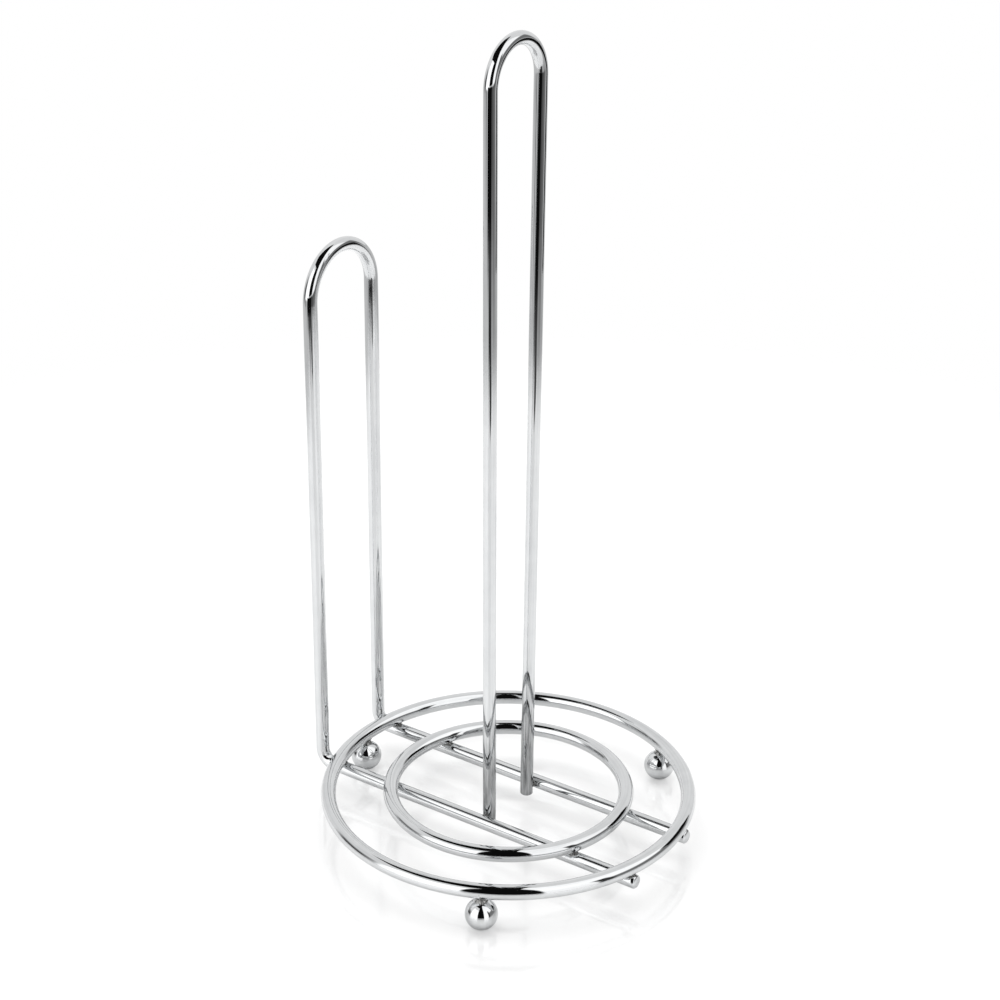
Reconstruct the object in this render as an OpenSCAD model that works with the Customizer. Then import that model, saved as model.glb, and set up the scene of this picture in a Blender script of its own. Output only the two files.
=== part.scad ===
// Free-standing paper towel holder made of bent and welded chromed steel wire.
// Two rings lie on a pair of runners. One wire forms the runners and the side arm,
// a hairpin of wire between the runners is the post, and three balls are the feet.
// Origin: on the worktop, on the axis of the rings. +X points away from the side arm.

/* [Base rings] */
// Diameter of the wire that both rings are bent from
ring_wire_d = 6; // [4:0.5:8]
// Outside diameter of the outer ring
outer_ring_d = 152; // [146:1:156]
// Outside diameter of the inner ring
inner_ring_d = 101.6; // [80:0.2:120]

/* [Side arm and runners] */
// Diameter of the wire of the side arm and its two runners
arm_wire_d = 5.6; // [4:0.2:7]
// Distance between the two legs of the arm, centre to centre
arm_spacing = 38; // [34:0.5:48]
// Height of the top of the arm above the worktop
arm_height = 235; // [120:1:280]
// Distance from the axis of the rings to the legs of the arm
arm_reach = 81; // [81:1:90]
// Centreline radius of the bend between a leg and its runner
arm_bend_r = 6; // [5:0.5:8]
// Distance from the axis of the rings to the cut ends of the runners
runner_reach = 73.2; // [73:0.1:80]

/* [Centre post] */
// Diameter of the wire of the post
post_wire_d = 5.2; // [4:0.2:6]
// Height of the top of the post above the worktop
post_height = 327; // [200:1:380]
// How far each leg of the post leans in on its way down, as a slope
post_slope = 0.008; // [0:0.002:0.02]
// How far the legs of the post reach below the runners
post_overhang = 0.6; // [0.5:0.1:2]

/* [Ball feet] */
// Diameter of each ball
foot_d = 12.7; // [10:0.1:16]
// Angle from +X to the two feet at that end, seen from the centre
foot_angle = 63.5; // [50:0.5:75]

/* [Welds] */
// Thickness of weld metal between two crossing wires
wire_weld_gap = 0.2; // [0.1:0.05:0.4]
// Diameter of the bead at each crossing of two wires
wire_weld_d = 5.4; // [4.6:0.1:5.6]
// Thickness of weld metal between a ball and the outer ring
foot_weld_gap = 0.9; // [0.4:0.1:1.5]
// Diameter of the bead between a ball and the outer ring
foot_weld_d = 6; // [5:0.1:7]

/* [Hidden] */

$fn = 64;
chrome = "gainsboro";
weld_metal = "darkgray";

// Radii of the rings' centrelines
outer_ring_r = (outer_ring_d - ring_wire_d) / 2;
inner_ring_r = (inner_ring_d - ring_wire_d) / 2;

// Heights of the layers: balls, then runners, then rings
ring_z = foot_d + foot_weld_gap + ring_wire_d / 2;
runner_z = ring_z - ring_wire_d / 2 - wire_weld_gap - arm_wire_d / 2;
runner_y = arm_spacing / 2;

// The arm's loop is a half circle between its legs
arm_loop_r = arm_spacing / 2;
arm_loop_z = arm_height - arm_wire_d / 2 - arm_loop_r;

// The post's legs stand against the inner sides of the runners, and lean apart upwards.
// The loop's radius is the one at which it meets both legs squarely.
post_lean = atan(post_slope);
post_weld_y = runner_y - (arm_wire_d + wire_weld_gap) / 2;
post_root_y = post_weld_y - (wire_weld_gap + post_wire_d) / 2;
post_rise = post_height - post_wire_d / 2 - runner_z;
post_loop_r = (post_rise * sin(post_lean) + post_root_y * cos(post_lean)) / (1 + sin(post_lean));
post_loop_z = post_height - post_wire_d / 2 - post_loop_r;
post_end_z = runner_z - arm_wire_d / 2 - post_overhang;
post_leg_len = (post_loop_z - post_end_z) / cos(post_lean) - post_loop_r * tan(post_lean);

// The wires' cut ends have their burr taken off
end_chamfer = 0.5;

// A straight wire from the origin along +Z, chamfered at its far end
module straight_wire(d, length) {
    cylinder(d = d, h = length - end_chamfer);
    translate([0, 0, length - end_chamfer])
        cylinder(d1 = d, d2 = d - 2 * end_chamfer, h = end_chamfer);
}

// A wire bent in the XY plane about the origin, at centreline radius r
module bent_wire(d, r, from, turn) {
    rotate_extrude(angle = turn, start = from)
        translate([r, 0])
            circle(d = d);
}

// A full ring of wire lying at the height of the rings
module wire_ring(r) {
    translate([0, 0, ring_z])
        rotate_extrude()
            translate([r, 0])
                circle(d = ring_wire_d);
}

// Two copies of a shape, mirrored across the XZ plane
module both_sides() {
    children();
    mirror([0, 1, 0])
        children();
}

// Straight part of one runner
module runner() {
    translate([arm_bend_r - arm_reach, runner_y, runner_z])
        rotate([0, 90, 0])
            straight_wire(arm_wire_d, runner_reach + arm_reach - arm_bend_r);
}

// Bend between one leg of the arm and its runner
module arm_bend() {
    translate([arm_bend_r - arm_reach, runner_y, runner_z + arm_bend_r])
        rotate([90, 0, 0])
            bent_wire(arm_wire_d, arm_bend_r, 180, 90);
}

// One upright leg of the arm
module arm_leg() {
    translate([-arm_reach, runner_y, runner_z + arm_bend_r])
        cylinder(d = arm_wire_d, h = arm_loop_z - runner_z - arm_bend_r);
}

// One leg of the post, from the loop down to just below the runners
module post_leg() {
    translate([0, 0, post_loop_z])
        rotate([-post_lean, 0, 0])
            translate([0, post_loop_r, 0])
                rotate([180, 0, 0])
                    straight_wire(post_wire_d, post_leg_len);
}

// A stretch of the post's loop, from an angle below or above the horizontal
module post_bend(from, turn) {
    translate([0, 0, post_loop_z])
        rotate([90, 0, 90])
            bent_wire(post_wire_d, post_loop_r, from, turn);
}

// A bead of weld metal at each place where a runner passes under a ring of radius r
module ring_welds(r) {
    weld_x = sqrt(r * r - runner_y * runner_y);
    both_sides()
        for (side = [-1, 1])
            difference() {
                translate([side * weld_x, runner_y, ring_z - (ring_wire_d + wire_weld_gap) / 2])
                    sphere(d = wire_weld_d);
                wire_ring(r);
                runner();
            }
}

// A ball foot under the outer ring at an angle from +X
module foot(angle) {
    color(chrome)
        rotate([0, 0, angle])
            translate([outer_ring_r, 0, foot_d / 2])
                sphere(d = foot_d);
}

module outer_ring() {
    color(chrome)
        wire_ring(outer_ring_r);
}

module inner_ring() {
    color(chrome)
        wire_ring(inner_ring_r);
}

module side_arm() {
    color(chrome) {
        translate([-arm_reach, 0, arm_loop_z])
            rotate([90, 0, 90])
                bent_wire(arm_wire_d, arm_loop_r, 0, 180);
        both_sides() {
            arm_leg();
            arm_bend();
            runner();
        }
    }
}

module center_post() {
    color(chrome) {
        post_bend(0, 180);
        both_sides() {
            post_bend(-post_lean, post_lean);
            post_leg();
        }
    }
}

module foot_back() {
    foot(180);
}

module foot_left() {
    foot(-foot_angle);
}

module foot_right() {
    foot(foot_angle);
}

module outer_ring_welds() {
    color(weld_metal)
        ring_welds(outer_ring_r);
}

module inner_ring_welds() {
    color(weld_metal)
        ring_welds(inner_ring_r);
}

// The beads' spheres lie on their sides, so that their poles are inside the wires
module post_welds() {
    color(weld_metal)
        both_sides()
            difference() {
                translate([0, post_weld_y, runner_z])
                    rotate([90, 0, 0])
                        sphere(d = wire_weld_d);
                post_leg();
                runner();
            }
}

module foot_welds() {
    color(weld_metal)
        for (angle = [180, -foot_angle, foot_angle])
            difference() {
                rotate([0, 0, angle])
                    translate([outer_ring_r, 0, foot_d + foot_weld_gap / 2])
                        sphere(d = foot_weld_d);
                foot(angle);
                wire_ring(outer_ring_r);
            }
}

outer_ring();
inner_ring();
side_arm();
center_post();
foot_back();
foot_left();
foot_right();
outer_ring_welds();
inner_ring_welds();
post_welds();
foot_welds();
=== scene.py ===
"""A chromed wire paper towel holder in a photo studio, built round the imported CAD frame.

Every piece is a swept wire, a ground steel ball or a group of weld fillets, in metres and in
the frame of the CAD model: +Z is up, the worktop is at z = 0, and the side arm is at -X.
"""

import math

import bmesh
import bpy
import numpy as np
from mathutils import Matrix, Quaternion, Vector


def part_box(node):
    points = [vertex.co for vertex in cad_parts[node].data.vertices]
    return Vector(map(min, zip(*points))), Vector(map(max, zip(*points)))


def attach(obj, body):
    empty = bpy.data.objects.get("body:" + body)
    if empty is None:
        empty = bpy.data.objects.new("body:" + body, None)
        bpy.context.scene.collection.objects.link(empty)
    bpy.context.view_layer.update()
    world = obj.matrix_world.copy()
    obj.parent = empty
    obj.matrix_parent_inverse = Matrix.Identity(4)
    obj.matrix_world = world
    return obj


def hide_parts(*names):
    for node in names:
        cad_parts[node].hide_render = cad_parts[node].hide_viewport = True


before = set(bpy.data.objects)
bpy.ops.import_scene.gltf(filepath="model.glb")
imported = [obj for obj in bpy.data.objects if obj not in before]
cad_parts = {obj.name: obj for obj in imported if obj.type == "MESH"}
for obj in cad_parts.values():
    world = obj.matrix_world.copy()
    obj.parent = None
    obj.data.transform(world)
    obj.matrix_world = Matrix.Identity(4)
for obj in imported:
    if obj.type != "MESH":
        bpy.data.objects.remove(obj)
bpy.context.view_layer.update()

# Sizes that the boxes of the CAD nodes don't give
ARM_WIRE_R = 0.0028
ARM_BEND_R = 0.006
WIRE_GAP = 0.0002
END_CHAMFER = 0.0005
BALL_FLAT = 0.000015
BEND_FLATTENING = 0.03

# How finely the wires and balls are drawn
WIRE_SIDES = 40
STRAIGHT_STEP = 0.004
BEND_STEP = math.radians(3)
RING_STEP = math.radians(1)
BALL_CUTS = 31

# The camera: a long lens that looks down on the holder from its front right
CAMERA_AZIMUTH = math.radians(34.47)
CAMERA_ELEVATION = math.radians(25.31)
CAMERA_ROLL = math.radians(0.5)
CAMERA_DISTANCE = 0.8756
CAMERA_LENS_MM = 82.44
SENSOR_MM = 36.0
AIM_HEIGHT = 0.146
AIM_SIDE = -0.0044

# Level directions from the holder towards the camera, and towards the right of its picture
TO_CAMERA = Vector((math.sin(CAMERA_AZIMUTH), -math.cos(CAMERA_AZIMUTH), 0))
TO_RIGHT = Vector((math.cos(CAMERA_AZIMUTH), math.sin(CAMERA_AZIMUTH), 0))


# ---------------------------------------------------------------- sizes from the CAD frame

def ring_size(node_name):
    """Centreline radius, wire radius and height of a ring."""
    low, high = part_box(node_name)
    wire_r = (high.z - low.z) / 2
    return high.x - wire_r, wire_r, (high.z + low.z) / 2


OUTER_R, RING_WIRE_R, RING_Z = ring_size("outer_ring")
INNER_R = ring_size("inner_ring")[0]

ARM_LOW, ARM_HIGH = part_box("side_arm")
RUNNER_Z = ARM_LOW.z + ARM_WIRE_R
RUNNER_Y = ARM_HIGH.y - ARM_WIRE_R
ARM_LEG_X = ARM_LOW.x + ARM_WIRE_R
ARM_LOOP_Z = ARM_HIGH.z - ARM_WIRE_R - RUNNER_Y

POST_LOW, POST_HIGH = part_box("center_post")
POST_WIRE_R = POST_HIGH.x
POST_LOOP_R = POST_HIGH.y - POST_WIRE_R
POST_LOOP_Z = POST_HIGH.z - POST_WIRE_R - POST_LOOP_R

FOOT_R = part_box("foot_back")[1].z / 2


# ---------------------------------------------------------------- paths of the wires

def straight(start, end):
    """Points from start up to, but not including, end."""
    start, end = np.array(start, float), np.array(end, float)
    count = max(2, int(np.linalg.norm(end - start) / STRAIGHT_STEP))
    return start + (end - start) * np.linspace(0, 1, count, endpoint=False)[:, None]


def arc(centre, across, along, radius, begin, turn, step=BEND_STEP):
    """Points of an arc, without its last one. Angles run from across towards along."""
    count = max(2, int(abs(turn) / step))
    angle = begin + turn * np.linspace(0, 1, count, endpoint=False)[:, None]
    centre, across, along = (np.array(v, float) for v in (centre, across, along))
    return centre + radius * (np.cos(angle) * across + np.sin(angle) * along)


def ring_path(radius):
    """A whole circle at the height of the rings."""
    return arc((0, 0, RING_Z), (1, 0, 0), (0, 1, 0), radius, 0, 2 * math.pi, RING_STEP)


def arm_half(side):
    """From the cut end of one runner to the start of the arm's loop."""
    bend_x = ARM_LEG_X + ARM_BEND_R
    bend_z = RUNNER_Z + ARM_BEND_R
    y = side * RUNNER_Y
    return np.vstack([
        straight((ARM_HIGH.x, y, RUNNER_Z), (bend_x, y, RUNNER_Z)),
        arc((bend_x, y, bend_z), (0, 0, -1), (-1, 0, 0), ARM_BEND_R, 0, math.pi / 2),
        straight((ARM_LEG_X, y, bend_z), (ARM_LEG_X, y, ARM_LOOP_Z)),
    ])


def arm_path():
    """One wire: runner, leg, loop, leg and runner."""
    loop = arc((ARM_LEG_X, 0, ARM_LOOP_Z), (0, 1, 0), (0, 0, 1), RUNNER_Y, 0, math.pi)
    loop_end = (ARM_LEG_X, -RUNNER_Y, ARM_LOOP_Z)
    return np.vstack([arm_half(1), loop, [loop_end], arm_half(-1)[::-1]])


def post_lean():
    """Angle of the post's legs from the vertical: they touch the loop and clear the runners."""
    root_y = RUNNER_Y - ARM_WIRE_R - WIRE_GAP - POST_WIRE_R
    rise = POST_LOOP_Z - RUNNER_Z
    return math.asin(POST_LOOP_R / math.hypot(root_y, rise)) - math.atan2(root_y, rise)


def post_path():
    """One wire: leg, loop and leg, with the legs leaning apart upwards."""
    lean = post_lean()
    top = Vector((0, POST_LOOP_R * math.cos(lean), POST_LOOP_Z - POST_LOOP_R * math.sin(lean)))
    root_y = top.y - (top.z - POST_LOW.z) * math.tan(lean)
    leg = straight((0, root_y, POST_LOW.z), top)
    loop = arc((0, 0, POST_LOOP_Z), (0, 1, 0), (0, 0, 1), POST_LOOP_R, -lean, math.pi + 2 * lean)
    other_leg = leg[::-1] * (1, -1, 1)
    return np.vstack([leg, loop, [(0, -top.y, top.z)], other_leg])


# ---------------------------------------------------------------- swept wire meshes

# A path bends where its direction changes by more than this from one point to the next,
# and a bend's flattening eases in over this many points
BEND_CHANGE = 0.001
EASE_POINTS = 5

# Any direction that isn't along the start of an open wire
SIDEWAYS = (0.3, 0.5, 0.8)


def unit(vectors):
    """Each row at length one; a row of zeros stays as it is."""
    length = np.linalg.norm(vectors, axis=-1, keepdims=True)
    return vectors / np.where(length > 0, length, 1)


def tangents(path, closed):
    """Unit direction of the path at each point."""
    if closed:
        return unit(np.roll(path, -1, 0) - np.roll(path, 1, 0))
    return unit(np.gradient(path, axis=0))


def carried_frames(direction, closed):
    """Two unit vectors across the wire at each point, carried along without twist."""
    first = np.array((0, 0, 1.0)) if closed else np.cross(direction[0], SIDEWAYS)
    normals = [unit(first - direction[0] * (first @ direction[0]))]
    for ahead in direction[1:]:
        normals.append(unit(normals[-1] - ahead * (normals[-1] @ ahead)))
    normals = np.array(normals)
    return normals, np.cross(direction, normals)


def distances(path):
    """Distance from the start of the path to each point."""
    steps = np.linalg.norm(np.diff(path, axis=0), axis=1)
    return np.concatenate([[0], np.cumsum(steps)])


def chamfered_ends(path):
    """The path with one more point just inside each end, where the chamfer begins."""
    head = path[0] + unit(path[1] - path[0]) * END_CHAMFER
    tail = path[-1] + unit(path[-2] - path[-1]) * END_CHAMFER
    return np.vstack([path[:1], [head], path[1:-1], [tail], path[-1:]])


def wire_rings(path, wire_r, closed, flatten):
    """Points round the wire at each point of its path, flattened where it bends."""
    direction = tangents(path, closed)
    normals, binormals = carried_frames(direction, closed)
    turn = 2 * math.pi * np.arange(WIRE_SIDES) / WIRE_SIDES
    offset = wire_r * (
        np.cos(turn)[None, :, None] * normals[:, None]
        + np.sin(turn)[None, :, None] * binormals[:, None]
    )
    change = np.gradient(direction, axis=0)
    bends = np.linalg.norm(change, axis=1) > BEND_CHANGE
    inward = (unit(change) * bends[:, None])[:, None]
    share = flatten * np.convolve(bends, np.ones(EASE_POINTS) / EASE_POINTS, "same")[:, None, None]
    lean = (offset * inward).sum(-1, keepdims=True)
    return path[:, None] + offset - share * lean * inward


def side_faces(count, along, closed):
    """Quads between neighbouring rings of points, and the UV of each corner."""
    faces, uvs = [], []
    for i in range(count if closed else count - 1):
        this_ring = i * WIRE_SIDES
        next_ring = (i + 1) % count * WIRE_SIDES
        for k in range(WIRE_SIDES):
            m = (k + 1) % WIRE_SIDES
            faces.append((this_ring + k, next_ring + k, next_ring + m, this_ring + m))
            left, right = k / WIRE_SIDES, (k + 1) / WIRE_SIDES
            uvs += [(along[i], left), (along[i + 1], left), (along[i + 1], right), (along[i], right)]
    return faces, uvs


def end_faces(count, along):
    """The two flat ends of an open wire, and the UV of each corner."""
    start = list(range(WIRE_SIDES))
    end = [(count - 1) * WIRE_SIDES + k for k in reversed(start)]
    return [start, end], [(along[0], 0.0)] * WIRE_SIDES + [(along[-1], 0.0)] * WIRE_SIDES


def wire_mesh(name, path, wire_r, closed=False, flatten=0.0):
    """A wire as quads, with the length along it in U and the turn round it in V."""
    if not closed:
        path = chamfered_ends(path)
    rings = wire_rings(path, wire_r, closed, flatten)
    along = distances(np.vstack([path, path[:1]]) if closed else path)
    faces, uvs = side_faces(len(path), along, closed)
    if not closed:
        for end in (0, -1):
            rings[end] = path[end] + (rings[end] - path[end]) * (1 - END_CHAMFER / wire_r)
        cap_faces, cap_uvs = end_faces(len(path), along)
        faces += cap_faces
        uvs += cap_uvs
    return closed_shape(name, rings.reshape(-1, 3), faces, uvs)


def add_object(name, data):
    """A new object in the scene."""
    made = bpy.data.objects.new(name, data)
    bpy.context.scene.collection.objects.link(made)
    return made


def closed_shape(name, points, faces, uvs=None):
    """A smooth-shaded object of closed shells, with all faces turned outwards."""
    mesh = bpy.data.meshes.new(name)
    mesh.from_pydata([tuple(p) for p in points], [], faces)
    if uvs is not None:
        layer = mesh.uv_layers.new(name="Wire")
        layer.data.foreach_set("uv", np.array(uvs, np.float32).ravel())
    mesh.validate()
    mesh.update()
    turn_outwards(mesh)
    mesh.shade_smooth()
    return add_object(name, mesh)


def turn_outwards(mesh):
    """Makes every face of a mesh of closed shells point outwards."""
    shape = bmesh.new()
    shape.from_mesh(mesh)
    bmesh.ops.recalc_face_normals(shape, faces=shape.faces)
    shape.to_mesh(mesh)
    shape.free()


# ---------------------------------------------------------------- balls and welds

# How finely a fillet is drawn, and how far its ends are pushed out to sink into the
# surfaces that it joins
WELD_TURNS = 32
WELD_LEVELS = 9
WELD_OVERLAP = 0.0002

# Radius of a fillet at its waist and where it flares out against the surfaces
RING_WELD = (0.0015, 0.0024)
POST_WELD = (0.0015, 0.0023)
FOOT_WELD = (0.0018, 0.0027)

# Unevenness of the weld metal: the number of waves round it, and their usual height
WELD_WAVES = 6
WAVE_HEIGHT = 0.05

rng = np.random.default_rng(7)


def ball_mesh(name, centre):
    """A ground steel ball: a cube blown up to a sphere, resting on a small worn flat."""
    shape = bmesh.new()
    bmesh.ops.create_cube(shape, size=2)
    bmesh.ops.subdivide_edges(shape, edges=shape.edges, cuts=BALL_CUTS, use_grid_fill=True)
    for corner in shape.verts:
        corner.co = corner.co.normalized() * FOOT_R + centre
        corner.co.z = max(corner.co.z, BALL_FLAT)
    mesh = bpy.data.meshes.new(name)
    shape.to_mesh(mesh)
    shape.free()
    mesh.shade_smooth()
    return add_object(name, mesh)


def curved_away(offset, radius):
    """How far a round surface has curved away at an offset from its middle line or point."""
    return radius - math.sqrt(max(radius**2 - offset**2, 0.0))


def uneven(angle, level, waves):
    """Factor on a fillet's radius. The waves round it shift with the level along it."""
    return 1 + sum(
        height * math.sin((n + 2) * angle + 5 * (1 + height) + 1.5 * level)
        for n, height in enumerate(waves)
    )


def weld_fillet(contact, up, across, over, under, waist, flare):
    """Points and faces of a fillet between two surfaces that touch at contact.

    up is the contact normal. over(a, b) and under(a, b) say how far the upper surface has
    risen and the lower one has dropped, a along across and b at right angles to it.
    """
    contact, up, across = (np.array(v, float) for v in (contact, up, across))
    beside = np.cross(up, across)
    waves = WAVE_HEIGHT * rng.standard_normal(WELD_WAVES)
    points = []
    for level in np.linspace(-1, 1, WELD_LEVELS):
        for k in range(WELD_TURNS):
            angle = 2 * math.pi * k / WELD_TURNS
            reach = (waist + (flare - waist) * level**2) * uneven(angle, level, waves)
            a, b = reach * math.cos(angle), reach * math.sin(angle)
            top = over(a, b) + WELD_OVERLAP
            bottom = -under(a, b) - WELD_OVERLAP
            height = (top + bottom) / 2 + level * (top - bottom) / 2
            points.append(contact + a * across + b * beside + height * up)
    return points, fillet_faces()


def fillet_faces():
    """Quads round a fillet, and its two ends."""
    faces = []
    for start in range(0, (WELD_LEVELS - 1) * WELD_TURNS, WELD_TURNS):
        for k in range(WELD_TURNS):
            m = (k + 1) % WELD_TURNS
            faces.append((start + k, start + m, start + WELD_TURNS + m, start + WELD_TURNS + k))
    top = (WELD_LEVELS - 1) * WELD_TURNS
    faces.append(tuple(reversed(range(WELD_TURNS))))
    faces.append(tuple(range(top, top + WELD_TURNS)))
    return faces


def weld_group(name, fillets):
    """Several fillets as one object of separate closed shells."""
    points, faces = [], []
    for own_points, own_faces in fillets:
        faces += [tuple(i + len(points) for i in f) for f in own_faces]
        points += own_points
    return closed_shape(name, points, faces)


def ring_weld_fillets(radius):
    """The four places where the runners pass under a ring."""
    height = RING_Z - RING_WIRE_R - WIRE_GAP / 2
    reach_x = math.sqrt(radius**2 - RUNNER_Y**2)
    for side_x in (-1, 1):
        for side_y in (-1, 1):
            spot = Vector((side_x * reach_x, side_y * RUNNER_Y, height))
            out = Vector((spot.x, spot.y, 0)).normalized()
            yield weld_fillet(
                spot, (0, 0, 1), out,
                lambda a, b: curved_away(a, RING_WIRE_R),
                lambda a, b: curved_away(a * out.y + b * out.x, ARM_WIRE_R),
                *RING_WELD,
            )


def post_weld_fillets():
    """The two places where a leg of the post stands against a runner."""
    y = RUNNER_Y - ARM_WIRE_R - WIRE_GAP / 2
    for side in (-1, 1):
        yield weld_fillet(
            (0, side * y, RUNNER_Z), (0, -side, 0), (1, 0, 0),
            lambda a, b: curved_away(a, POST_WIRE_R),
            lambda a, b: curved_away(b, ARM_WIRE_R),
            *POST_WELD,
        )


def foot_weld_fillets(feet):
    """The bead between each ball and the outer ring."""
    gap = RING_Z - RING_WIRE_R - 2 * FOOT_R
    for spot in feet.values():
        out = Vector((spot.x, spot.y, 0)).normalized()
        yield weld_fillet(
            (spot.x, spot.y, 2 * FOOT_R + gap / 2), (0, 0, 1), out,
            lambda a, b: curved_away(a, RING_WIRE_R) + gap / 2,
            lambda a, b: curved_away(math.hypot(a, b), FOOT_R) + gap / 2,
            *FOOT_WELD,
        )


# ---------------------------------------------------------------- shader nodes

WHITE = (1, 1, 1, 1)


def node_tree(owner):
    """The emptied node tree of a material or world."""
    owner.use_nodes = True
    owner.node_tree.nodes.clear()
    return owner.node_tree


def new_material(name):
    """A material and its empty node tree."""
    material = bpy.data.materials.new(name)
    return material, node_tree(material)


def node(tree, kind, operation=None, **inputs):
    """A shader node with its inputs set to values or linked to sockets.

    An input goes by its name, with _ for a space, or by its number, as in i0.
    """
    made = tree.nodes.new(kind)
    if operation:
        made.operation = operation
    for key, value in inputs.items():
        numbered = key[0] == "i" and key[1:].isdigit()
        socket = made.inputs[int(key[1:]) if numbered else key.replace("_", " ")]
        if isinstance(value, bpy.types.NodeSocket):
            tree.links.new(value, socket)
        else:
            socket.default_value = value
    return made


def math_node(tree, operation, a, b=None):
    """The result of a Math node."""
    if b is None:
        return node(tree, "ShaderNodeMath", operation, i0=a).outputs[0]
    return node(tree, "ShaderNodeMath", operation, i0=a, i1=b).outputs[0]


def spread(tree, value, low, high):
    """A value from 0 to 1 spread from low to high."""
    made = node(tree, "ShaderNodeMapRange", Value=value, To_Min=low, To_Max=high)
    return made.outputs["Result"]


def smooth(tree, value, low, high):
    """0 below low, 1 above high, and a soft step between them."""
    made = node(tree, "ShaderNodeMapRange", Value=value, From_Min=low, From_Max=high)
    made.interpolation_type = "SMOOTHSTEP"
    return made.outputs["Result"]


def mix_values(tree, share, first, second):
    """The first value where the share is 0, and the second where it is 1."""
    return node(tree, "ShaderNodeMix", Factor=share, A=first, B=second).outputs["Result"]


def mix_shaders(tree, share, first, second):
    """The first shader where the share is 0, and the second where it is 1."""
    return node(tree, "ShaderNodeMixShader", i0=share, i1=first, i2=second).outputs[0]


def diffuse(tree, grey):
    """A matt grey shader."""
    return node(tree, "ShaderNodeBsdfDiffuse", Color=(grey, grey, grey, 1)).outputs[0]


def glow(tree, strength):
    """A shader of plain white light."""
    return node(tree, "ShaderNodeEmission", Color=WHITE, Strength=strength).outputs[0]


def ray_is(tree, kind):
    """1 for rays of one kind, Camera or Glossy, and 0 for all others."""
    return node(tree, "ShaderNodeLightPath").outputs[f"Is {kind} Ray"]


def along_axis(tree, point, axis):
    """How far a point lies along an axis."""
    return node(tree, "ShaderNodeVectorMath", "DOT_PRODUCT", i0=point, i1=axis).outputs["Value"]


def object_space(tree):
    """Place in the object's own coordinates, which are the CAD frame's."""
    return node(tree, "ShaderNodeTexCoord").outputs["Object"]


def along_wire(tree, wire_r, stretch):
    """Coordinates that wrap round the wire without a seam.

    Along the wire they change at the rate of stretch, so below 1 a pattern is drawn out.
    """
    uv = node(tree, "ShaderNodeUVMap")
    uv.uv_map = "Wire"
    parts = node(tree, "ShaderNodeSeparateXYZ", Vector=uv.outputs["UV"])
    turn = math_node(tree, "MULTIPLY", parts.outputs["Y"], 2 * math.pi)
    x = math_node(tree, "MULTIPLY", math_node(tree, "COSINE", turn), wire_r)
    y = math_node(tree, "MULTIPLY", math_node(tree, "SINE", turn), wire_r)
    z = math_node(tree, "MULTIPLY", parts.outputs["X"], stretch)
    return node(tree, "ShaderNodeCombineXYZ", X=x, Y=y, Z=z).outputs["Vector"]


def noise(tree, where, scale, detail):
    """Noise of about 0 to 1."""
    made = node(tree, "ShaderNodeTexNoise", Vector=where, Scale=scale, Detail=detail)
    return made.outputs["Fac"]


def bump(tree, height, distance, under=None):
    """Surface normal for a height from 0 to 1 times a distance, on top of another bump."""
    made = node(tree, "ShaderNodeBump", Height=height, Distance=distance, Strength=1.0)
    if under is not None:
        tree.links.new(under, made.inputs["Normal"])
    return made.outputs["Normal"]


# ---------------------------------------------------------------- materials of the holder

CHROME_DARK = (0.60, 0.61, 0.62)
CHROME_LIGHT = (0.75, 0.76, 0.765)
WELD_DARK = (0.12, 0.12, 0.12)
WELD_LIGHT = (0.42, 0.42, 0.41)

# Noise values that give the darker and the lighter colour
COLOUR_RANGE = (0.3, 0.7)
# Share of the draw lines in the colour of a wire, the rest being patches
LINES_SHARE = 0.7

# Painted shade low on the post: the plating's colour is darkened to this share between these
# heights, with streaks that reach this far up, where the legs mirror the shaded floor
PAINTED_SHADE_SHARE = 0.2
PAINTED_SHADE_HEIGHTS = (0.03, 0.13)
SHADE_STREAK_REACH = 0.12


def colour_between(tree, value, dark, light):
    """A colour between two greys."""
    ramp = node(tree, "ShaderNodeValToRGB", Fac=value)
    for stop, position, colour in zip(ramp.color_ramp.elements, COLOUR_RANGE, (dark, light)):
        stop.position = position
        stop.color = (*colour, 1)
    return ramp.outputs["Color"]


def finish_metal(tree, colour, roughness, normal):
    """Ends a node tree in a metal."""
    metal = node(
        tree, "ShaderNodeBsdfPrincipled",
        Metallic=1.0, Base_Color=colour, Roughness=roughness, Normal=normal,
    )
    node(tree, "ShaderNodeOutputMaterial", Surface=metal.outputs["BSDF"])


def paint_shade_low(tree, colour, shade_streaks_at, low, high):
    """Painted shade: streaks of darker colour below a height, all dark under the lower one."""
    height = along_axis(tree, object_space(tree), (0, 0, 1))
    ragged = math_node(tree, "MULTIPLY", noise(tree, shade_streaks_at, scale=900, detail=3), SHADE_STREAK_REACH)
    unshaded = smooth(tree, math_node(tree, "ADD", height, ragged), low, high)
    share = spread(tree, unshaded, PAINTED_SHADE_SHARE, 1.0)
    return node(tree, "ShaderNodeVectorMath", "SCALE", i0=colour, Scale=share).outputs["Vector"]


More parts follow.
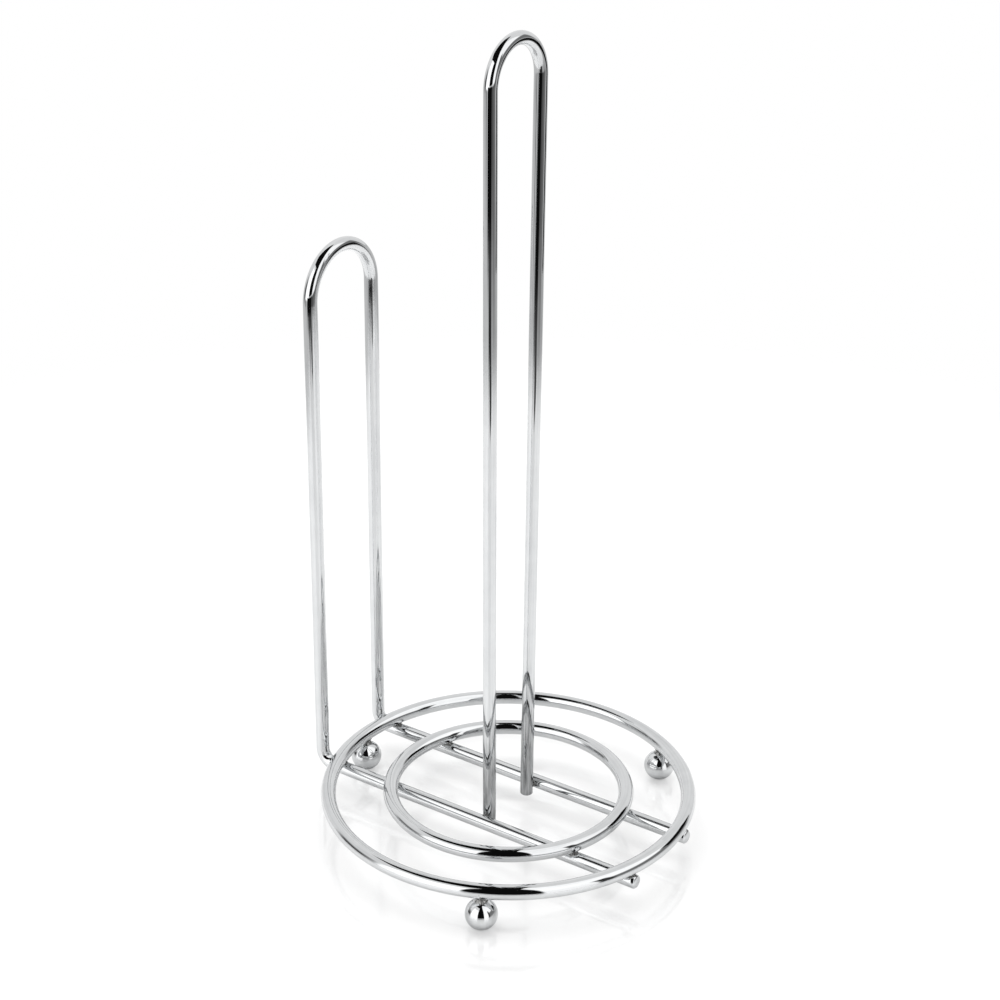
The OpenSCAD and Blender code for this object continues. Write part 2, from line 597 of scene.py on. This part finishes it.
def chromed_wire(name, wire_r, painted_shade=None):
    """Bright plating over drawn wire: faint draw lines, slow waves, smudges and small pits.

    The last argument gives the heights between which painted shade darkens a leg towards its weld.
    """
    material, tree = new_material(name)
    here = object_space(tree)
    draw_lines = noise(tree, along_wire(tree, wire_r, stretch=0.02), scale=800, detail=3)
    patches = noise(tree, here, scale=160, detail=3)
    tone = mix_values(tree, LINES_SHARE, patches, draw_lines)
    colour = colour_between(tree, tone, CHROME_DARK, CHROME_LIGHT)
    # Painted shade low on the leg, where it mirrors the shaded floor
    if painted_shade:
        colour = paint_shade_low(tree, colour, along_wire(tree, wire_r, stretch=0.1), *painted_shade)
    smudges = noise(tree, here, scale=90, detail=4)
    roughness = spread(tree, smudges, 0.02, 0.06)
    waves = noise(tree, along_wire(tree, wire_r, stretch=0.6), scale=160, detail=1)
    ridges = noise(tree, along_wire(tree, wire_r, stretch=0.03), scale=2600, detail=2)
    pits = noise(tree, here, scale=1500, detail=1)
    normal = bump(tree, waves, 0.00001)
    normal = bump(tree, ridges, 0.0000015, under=normal)
    normal = bump(tree, pits, 0.0000006, under=normal)
    finish_metal(tree, colour, roughness, normal)
    return material


def chromed_ball(name):
    """Bright plating over a ground ball: an even gloss with fine scuffs and smudges."""
    material, tree = new_material(name)
    here = object_space(tree)
    patches = noise(tree, here, scale=200, detail=3)
    smudges = noise(tree, here, scale=220, detail=4)
    peel = noise(tree, here, scale=350, detail=2)
    scuffs = noise(tree, here, scale=1800, detail=1)
    colour = colour_between(tree, patches, CHROME_DARK, CHROME_LIGHT)
    roughness = spread(tree, smudges, 0.02, 0.08)
    normal = bump(tree, scuffs, 0.000001, under=bump(tree, peel, 0.000008))
    finish_metal(tree, colour, roughness, normal)
    return material


def plated_weld(name):
    """Plating over weld metal: duller, rippled and darker than the wires."""
    material, tree = new_material(name)
    here = object_space(tree)
    patches = noise(tree, here, scale=900, detail=3)
    grain = noise(tree, here, scale=700, detail=3)
    ripples = noise(tree, here, scale=1100, detail=3)
    colour = colour_between(tree, patches, WELD_DARK, WELD_LIGHT)
    finish_metal(tree, colour, spread(tree, grain, 0.16, 0.38), bump(tree, ripples, 0.00012))
    return material


# ---------------------------------------------------------------- the holder

def place(piece, node_name, material):
    """Gives a finished piece its material, and lets it stand for a CAD node."""
    piece.data.materials.append(material)
    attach(piece, "root")
    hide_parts(node_name)


def foot_places():
    """Centre of each ball, by the name of its node."""
    places = {}
    for name in ("foot_back", "foot_left", "foot_right"):
        low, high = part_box(name)
        places[name] = (low + high) / 2
    return places


def add_wires():
    """The two rings, the side arm with its runners, and the post."""
    ring_chrome = chromed_wire("ring_chrome", RING_WIRE_R)
    arm_chrome = chromed_wire("arm_chrome", ARM_WIRE_R)
    # The post gets painted shade low on its legs
    post_chrome = chromed_wire("post_chrome", POST_WIRE_R, painted_shade=PAINTED_SHADE_HEIGHTS)
    outer = wire_mesh("outer_ring_wire", ring_path(OUTER_R), RING_WIRE_R, closed=True)
    inner = wire_mesh("inner_ring_wire", ring_path(INNER_R), RING_WIRE_R, closed=True)
    arm = wire_mesh("side_arm_wire", arm_path(), ARM_WIRE_R, flatten=BEND_FLATTENING)
    post = wire_mesh("center_post_wire", post_path(), POST_WIRE_R, flatten=BEND_FLATTENING)
    place(outer, "outer_ring", ring_chrome)
    place(inner, "inner_ring", ring_chrome)
    place(arm, "side_arm", arm_chrome)
    place(post, "center_post", post_chrome)


def add_feet(feet):
    """The three balls."""
    ball_chrome = chromed_ball("ball_chrome")
    for name, centre in feet.items():
        place(ball_mesh(name + "_ball", centre), name, ball_chrome)


def add_welds(feet):
    """All the weld beads, in one object for each CAD node of them."""
    weld_chrome = plated_weld("weld_chrome")
    for name, fillets in (
        ("outer_ring", ring_weld_fillets(OUTER_R)),
        ("inner_ring", ring_weld_fillets(INNER_R)),
        ("post", post_weld_fillets()),
        ("foot", foot_weld_fillets(feet)),
    ):
        place(weld_group(name + "_weld_beads", fillets), name + "_welds", weld_chrome)


def build_holder():
    """Every piece of the holder."""
    feet = foot_places()
    add_wires()
    add_feet(feet)
    add_welds(feet)


# ---------------------------------------------------------------- camera

def studio_point(right, near, height):
    """A point to the right of the axis, nearer the camera, and above the worktop."""
    return TO_RIGHT * right + TO_CAMERA * near + Vector((0, 0, height))


def add_camera():
    """The camera, aimed near the middle of the post, with a slight roll."""
    data = bpy.data.cameras.new("camera")
    data.sensor_width = SENSOR_MM
    data.lens = CAMERA_LENS_MM
    data.clip_end = 20
    camera = add_object("camera", data)
    back = TO_CAMERA * math.cos(CAMERA_ELEVATION) + Vector((0, 0, math.sin(CAMERA_ELEVATION)))
    camera.location = studio_point(AIM_SIDE, 0, AIM_HEIGHT) + back * CAMERA_DISTANCE
    camera.rotation_mode = "QUATERNION"
    roll = Quaternion((0, 0, 1), CAMERA_ROLL)
    camera.rotation_quaternion = (-back).to_track_quat("-Z", "Y") @ roll
    bpy.context.scene.camera = camera


# ---------------------------------------------------------------- the white board

# The board's edge towards the camera is straight, and steps forward at the left, between
# these places to the right of the axis. The rest of its rim fades out.
BOARD_FRONT = (0.385, 0.425)
BOARD_STEP = 0.10
STEP_PLACE = (-0.06, -0.02)
BOARD_FADE = (0.40, 0.56)
RIM_POINTS = 96

# Greys of the board. The chrome sees a share of the shaded one, most of it near the holder.
BOARD_WHITE = 0.92
BOARD_SHADED = 0.08
SHADE_FADE = (0.04, 0.12)
SHADE_NEAR = 0.3
SHADE_FAR = 0.1

# How much of the board is plain white for the camera, and how much of it mirrors the
# holder, fading out between these distances from the axis
WASHED_OUT = 0.45
SEEN_SHEEN = 0.28
SHEEN_FADE = (0.10, 0.145)


def board_edge(tree, here, away):
    """0 on the board and 1 beyond its edge."""
    right = smooth(tree, along_axis(tree, here, TO_RIGHT), *STEP_PLACE)
    step = spread(tree, right, BOARD_STEP, 0.0)
    ahead = math_node(tree, "SUBTRACT", along_axis(tree, here, TO_CAMERA), step)
    front = smooth(tree, ahead, *BOARD_FRONT)
    return math_node(tree, "MAXIMUM", front, smooth(tree, away, *BOARD_FADE))


def board_matt(tree, away):
    """The board's matt white, which the chrome sees darker near the holder."""
    depth = spread(tree, smooth(tree, away, *SHADE_FADE), SHADE_NEAR, SHADE_FAR)
    shade = math_node(tree, "MULTIPLY", depth, ray_is(tree, "Glossy"))
    return mix_shaders(tree, shade, diffuse(tree, BOARD_WHITE), diffuse(tree, BOARD_SHADED))


def board_sheen(tree, away):
    """How much the board mirrors: by the angle of view, or as set for the camera."""
    fresnel = node(tree, "ShaderNodeFresnel", IOR=1.5).outputs[0]
    seen = spread(tree, smooth(tree, away, *SHEEN_FADE), SEEN_SHEEN, 0.0)
    return mix_values(tree, ray_is(tree, "Camera"), fresnel, seen)


def board_material():
    """White board with a faint mirror image, clear beyond its edge."""
    material, tree = new_material("white_board")
    here = object_space(tree)
    away = node(tree, "ShaderNodeVectorMath", "LENGTH", i0=here).outputs["Value"]
    gloss = node(tree, "ShaderNodeBsdfGlossy", Color=WHITE, Roughness=0.1).outputs[0]
    board = mix_shaders(tree, board_sheen(tree, away), board_matt(tree, away), gloss)
    washed = math_node(tree, "MULTIPLY", ray_is(tree, "Camera"), WASHED_OUT)
    shown = mix_shaders(tree, washed, board, glow(tree, 1.0))
    clear = node(tree, "ShaderNodeBsdfTransparent").outputs[0]
    whole = mix_shaders(tree, board_edge(tree, here, away), shown, clear)
    node(tree, "ShaderNodeOutputMaterial", Surface=whole)
    return material


def flat_object(name, corners, material):
    """An object of one flat face."""
    mesh = bpy.data.meshes.new(name)
    mesh.from_pydata(corners, [], [tuple(range(len(corners)))])
    mesh.materials.append(material)
    return add_object(name, mesh)


def add_floor():
    """The round white board under the holder."""
    angles = [2 * math.pi * k / RIM_POINTS for k in range(RIM_POINTS)]
    rim = [(BOARD_FADE[1] * math.cos(a), BOARD_FADE[1] * math.sin(a), 0) for a in angles]
    floor = flat_object("floor", rim, board_material())


# ---------------------------------------------------------------- the studio round the holder

# Bearings past the full circle, so that no soft edge shows in it
ALL_ROUND = (-400, 400)

# Brightness of the parts of the studio, where plain white is 1
BACKDROP = 0.92
LEFT_SOFTBOX = 1.6
RIGHT_SOFTBOX = 1.35
BLACK = 0.005

# The dark opening in the ceiling: its height, and its corners to the right of the axis
# and towards the camera
OPENING_HEIGHT = 0.73
OPENING = ((-0.5, -0.32), (0.06, -0.25), (0.06, 0.33), (-0.19, 0.33), (-0.52, -0.05))

# The dark stand at the right: its distance, bearings and heights
STAND_DISTANCE = 0.47
STAND_BEARINGS = (math.radians(96), math.radians(122))
STAND_HEIGHTS = (0.075, 0.26)

# The lamp over the board: its size, power, and place to the right, nearer and up
LAMP_SIZE = 1.2
LAMP_POWER = 11
LAMP_PLACE = (-0.2, -0.3, 1.3)


class Studio:
    """Brightness of the studio by direction, in degrees.

    A bearing is measured from the camera's side towards its right, and a height from the
    horizon.
    """

    def __init__(self, tree):
        self.tree = tree
        direction = node(tree, "ShaderNodeTexCoord").outputs["Generated"]
        right = along_axis(tree, direction, TO_RIGHT)
        near = along_axis(tree, direction, TO_CAMERA)
        up = along_axis(tree, direction, (0, 0, 1))
        self.bearing = math_node(tree, "DEGREES", math_node(tree, "ARCTAN2", right, near))
        self.height = math_node(tree, "DEGREES", math_node(tree, "ARCSINE", up))
        self.light = 0.0

    def between(self, value, low, high, soft):
        """1 between low and high, with soft edges."""
        rise = smooth(self.tree, value, low - soft / 2, low + soft / 2)
        fall = smooth(self.tree, value, high - soft / 2, high + soft / 2)
        return math_node(self.tree, "MULTIPLY", rise, math_node(self.tree, "SUBTRACT", 1.0, fall))

    def paint(self, brightness, bearings, heights, soft=4):
        """Gives a window of the studio one brightness, over what was painted before."""
        across = self.between(self.bearing, *bearings, soft)
        upright = self.between(self.height, *heights, soft)
        window = math_node(self.tree, "MULTIPLY", across, upright)
        self.light = mix_values(self.tree, window, self.light, brightness)


def paint_room(studio):
    """The backdrop, and below the horizon the room's floor beyond the board."""
    studio.paint(BACKDROP, ALL_ROUND, heights=(-2, 120))
    studio.paint(0.7, ALL_ROUND, heights=(-120, -2))
    # At the right the floor is darker, most of all in a band below the horizon, which
    # grows paler away from the camera
    studio.paint(0.5, bearings=(10, 125), heights=(-95, -20), soft=10)
    studio.paint(0.1, bearings=(10, 125), heights=(-20, -3), soft=6)
    studio.paint(0.2, bearings=(45, 130), heights=(-20, -3), soft=24)
    studio.paint(0.62, bearings=(78, 140), heights=(-21, -3), soft=12)


def paint_softboxes(studio):
    """A softbox on each side of the camera, and the darker places beside and below them."""
    studio.paint(LEFT_SOFTBOX, bearings=(-79, -24), heights=(-8, 50), soft=6)
    # The right one is high, and comes down to the horizon only next to the camera
    studio.paint(RIGHT_SOFTBOX, bearings=(19, 112), heights=(22, 95), soft=8)
    studio.paint(RIGHT_SOFTBOX, bearings=(19, 54), heights=(-2, 40), soft=6)
    # Below its high part it is dim, with a dark upright next to the low part
    studio.paint(0.22, bearings=(54, 125), heights=(-2, 24), soft=8)
    studio.paint(0.05, bearings=(52, 62), heights=(-8, 36), soft=4)
    # Beyond the left one there is a dim gap with a dark core
    studio.paint(0.3, bearings=(-112, -80), heights=(-14, 19), soft=12)
    studio.paint(0.06, bearings=(-107, -88), heights=(-8, 9), soft=6)
    # Below the left one there is a dark foot
    studio.paint(0.12, bearings=(-74, -62), heights=(-19, -8), soft=6)


def paint_dark_slot(studio):
    """The dark slot between the softboxes, behind the camera, and the dark floor below it."""
    studio.paint(BLACK, bearings=(-26, 20), heights=(0, 86), soft=3)
    studio.paint(0.03, bearings=(-25, 19), heights=(-95, -19), soft=6)
    studio.paint(BLACK, bearings=(-46, 18), heights=(-20.5, -2), soft=3)


def add_studio():
    """The painted studio, which the camera itself sees as plain white."""
    world = bpy.data.worlds.new("studio")
    bpy.context.scene.world = world
    tree = node_tree(world)
    studio = Studio(tree)
    paint_room(studio)
    paint_softboxes(studio)
    paint_dark_slot(studio)
    painted = node(tree, "ShaderNodeBackground", Color=WHITE, Strength=studio.light).outputs[0]
    plain = node(tree, "ShaderNodeBackground", Color=WHITE, Strength=1.0).outputs[0]
    whole = mix_shaders(tree, ray_is(tree, "Camera"), painted, plain)
    node(tree, "ShaderNodeOutputWorld", Surface=whole)


def black_card(name, corners):
    """A flat black card that only mirrors in the chrome."""
    material, tree = new_material(name + "_black")
    node(tree, "ShaderNodeOutputMaterial", Surface=glow(tree, BLACK))
    card = flat_object(name, corners, material)
    card.visible_camera = False
    card.visible_diffuse = False
    card.visible_shadow = False


def add_cards():
    """The dark opening in the ceiling, and the dark stand at the right."""
    black_card("opening", [studio_point(right, near, OPENING_HEIGHT) for right, near in OPENING])
    ends = [(STAND_DISTANCE * math.sin(b), STAND_DISTANCE * math.cos(b)) for b in STAND_BEARINGS]
    low, high = STAND_HEIGHTS
    bottom = [studio_point(right, near, low) for right, near in ends]
    top = [studio_point(right, near, high) for right, near in reversed(ends)]
    black_card("stand", bottom + top)


def add_overhead_light():
    """A wide lamp that lights the board evenly and isn't mirrored in the chrome."""
    data = bpy.data.lights.new("overhead", "AREA")
    data.shape = "DISK"
    data.size = LAMP_SIZE
    data.energy = LAMP_POWER
    lamp = add_object("overhead", data)
    lamp.location = studio_point(*LAMP_PLACE)
    lamp.rotation_mode = "QUATERNION"
    lamp.rotation_quaternion = lamp.location.to_track_quat("Z", "Y")
    lamp.visible_glossy = False
    lamp.visible_camera = False


# ---------------------------------------------------------------- the whole scene


add_camera()
build_holder()
add_floor()
add_studio()
add_cards()
add_overhead_light()
bpy.context.scene.view_settings.view_transform = "Standard"
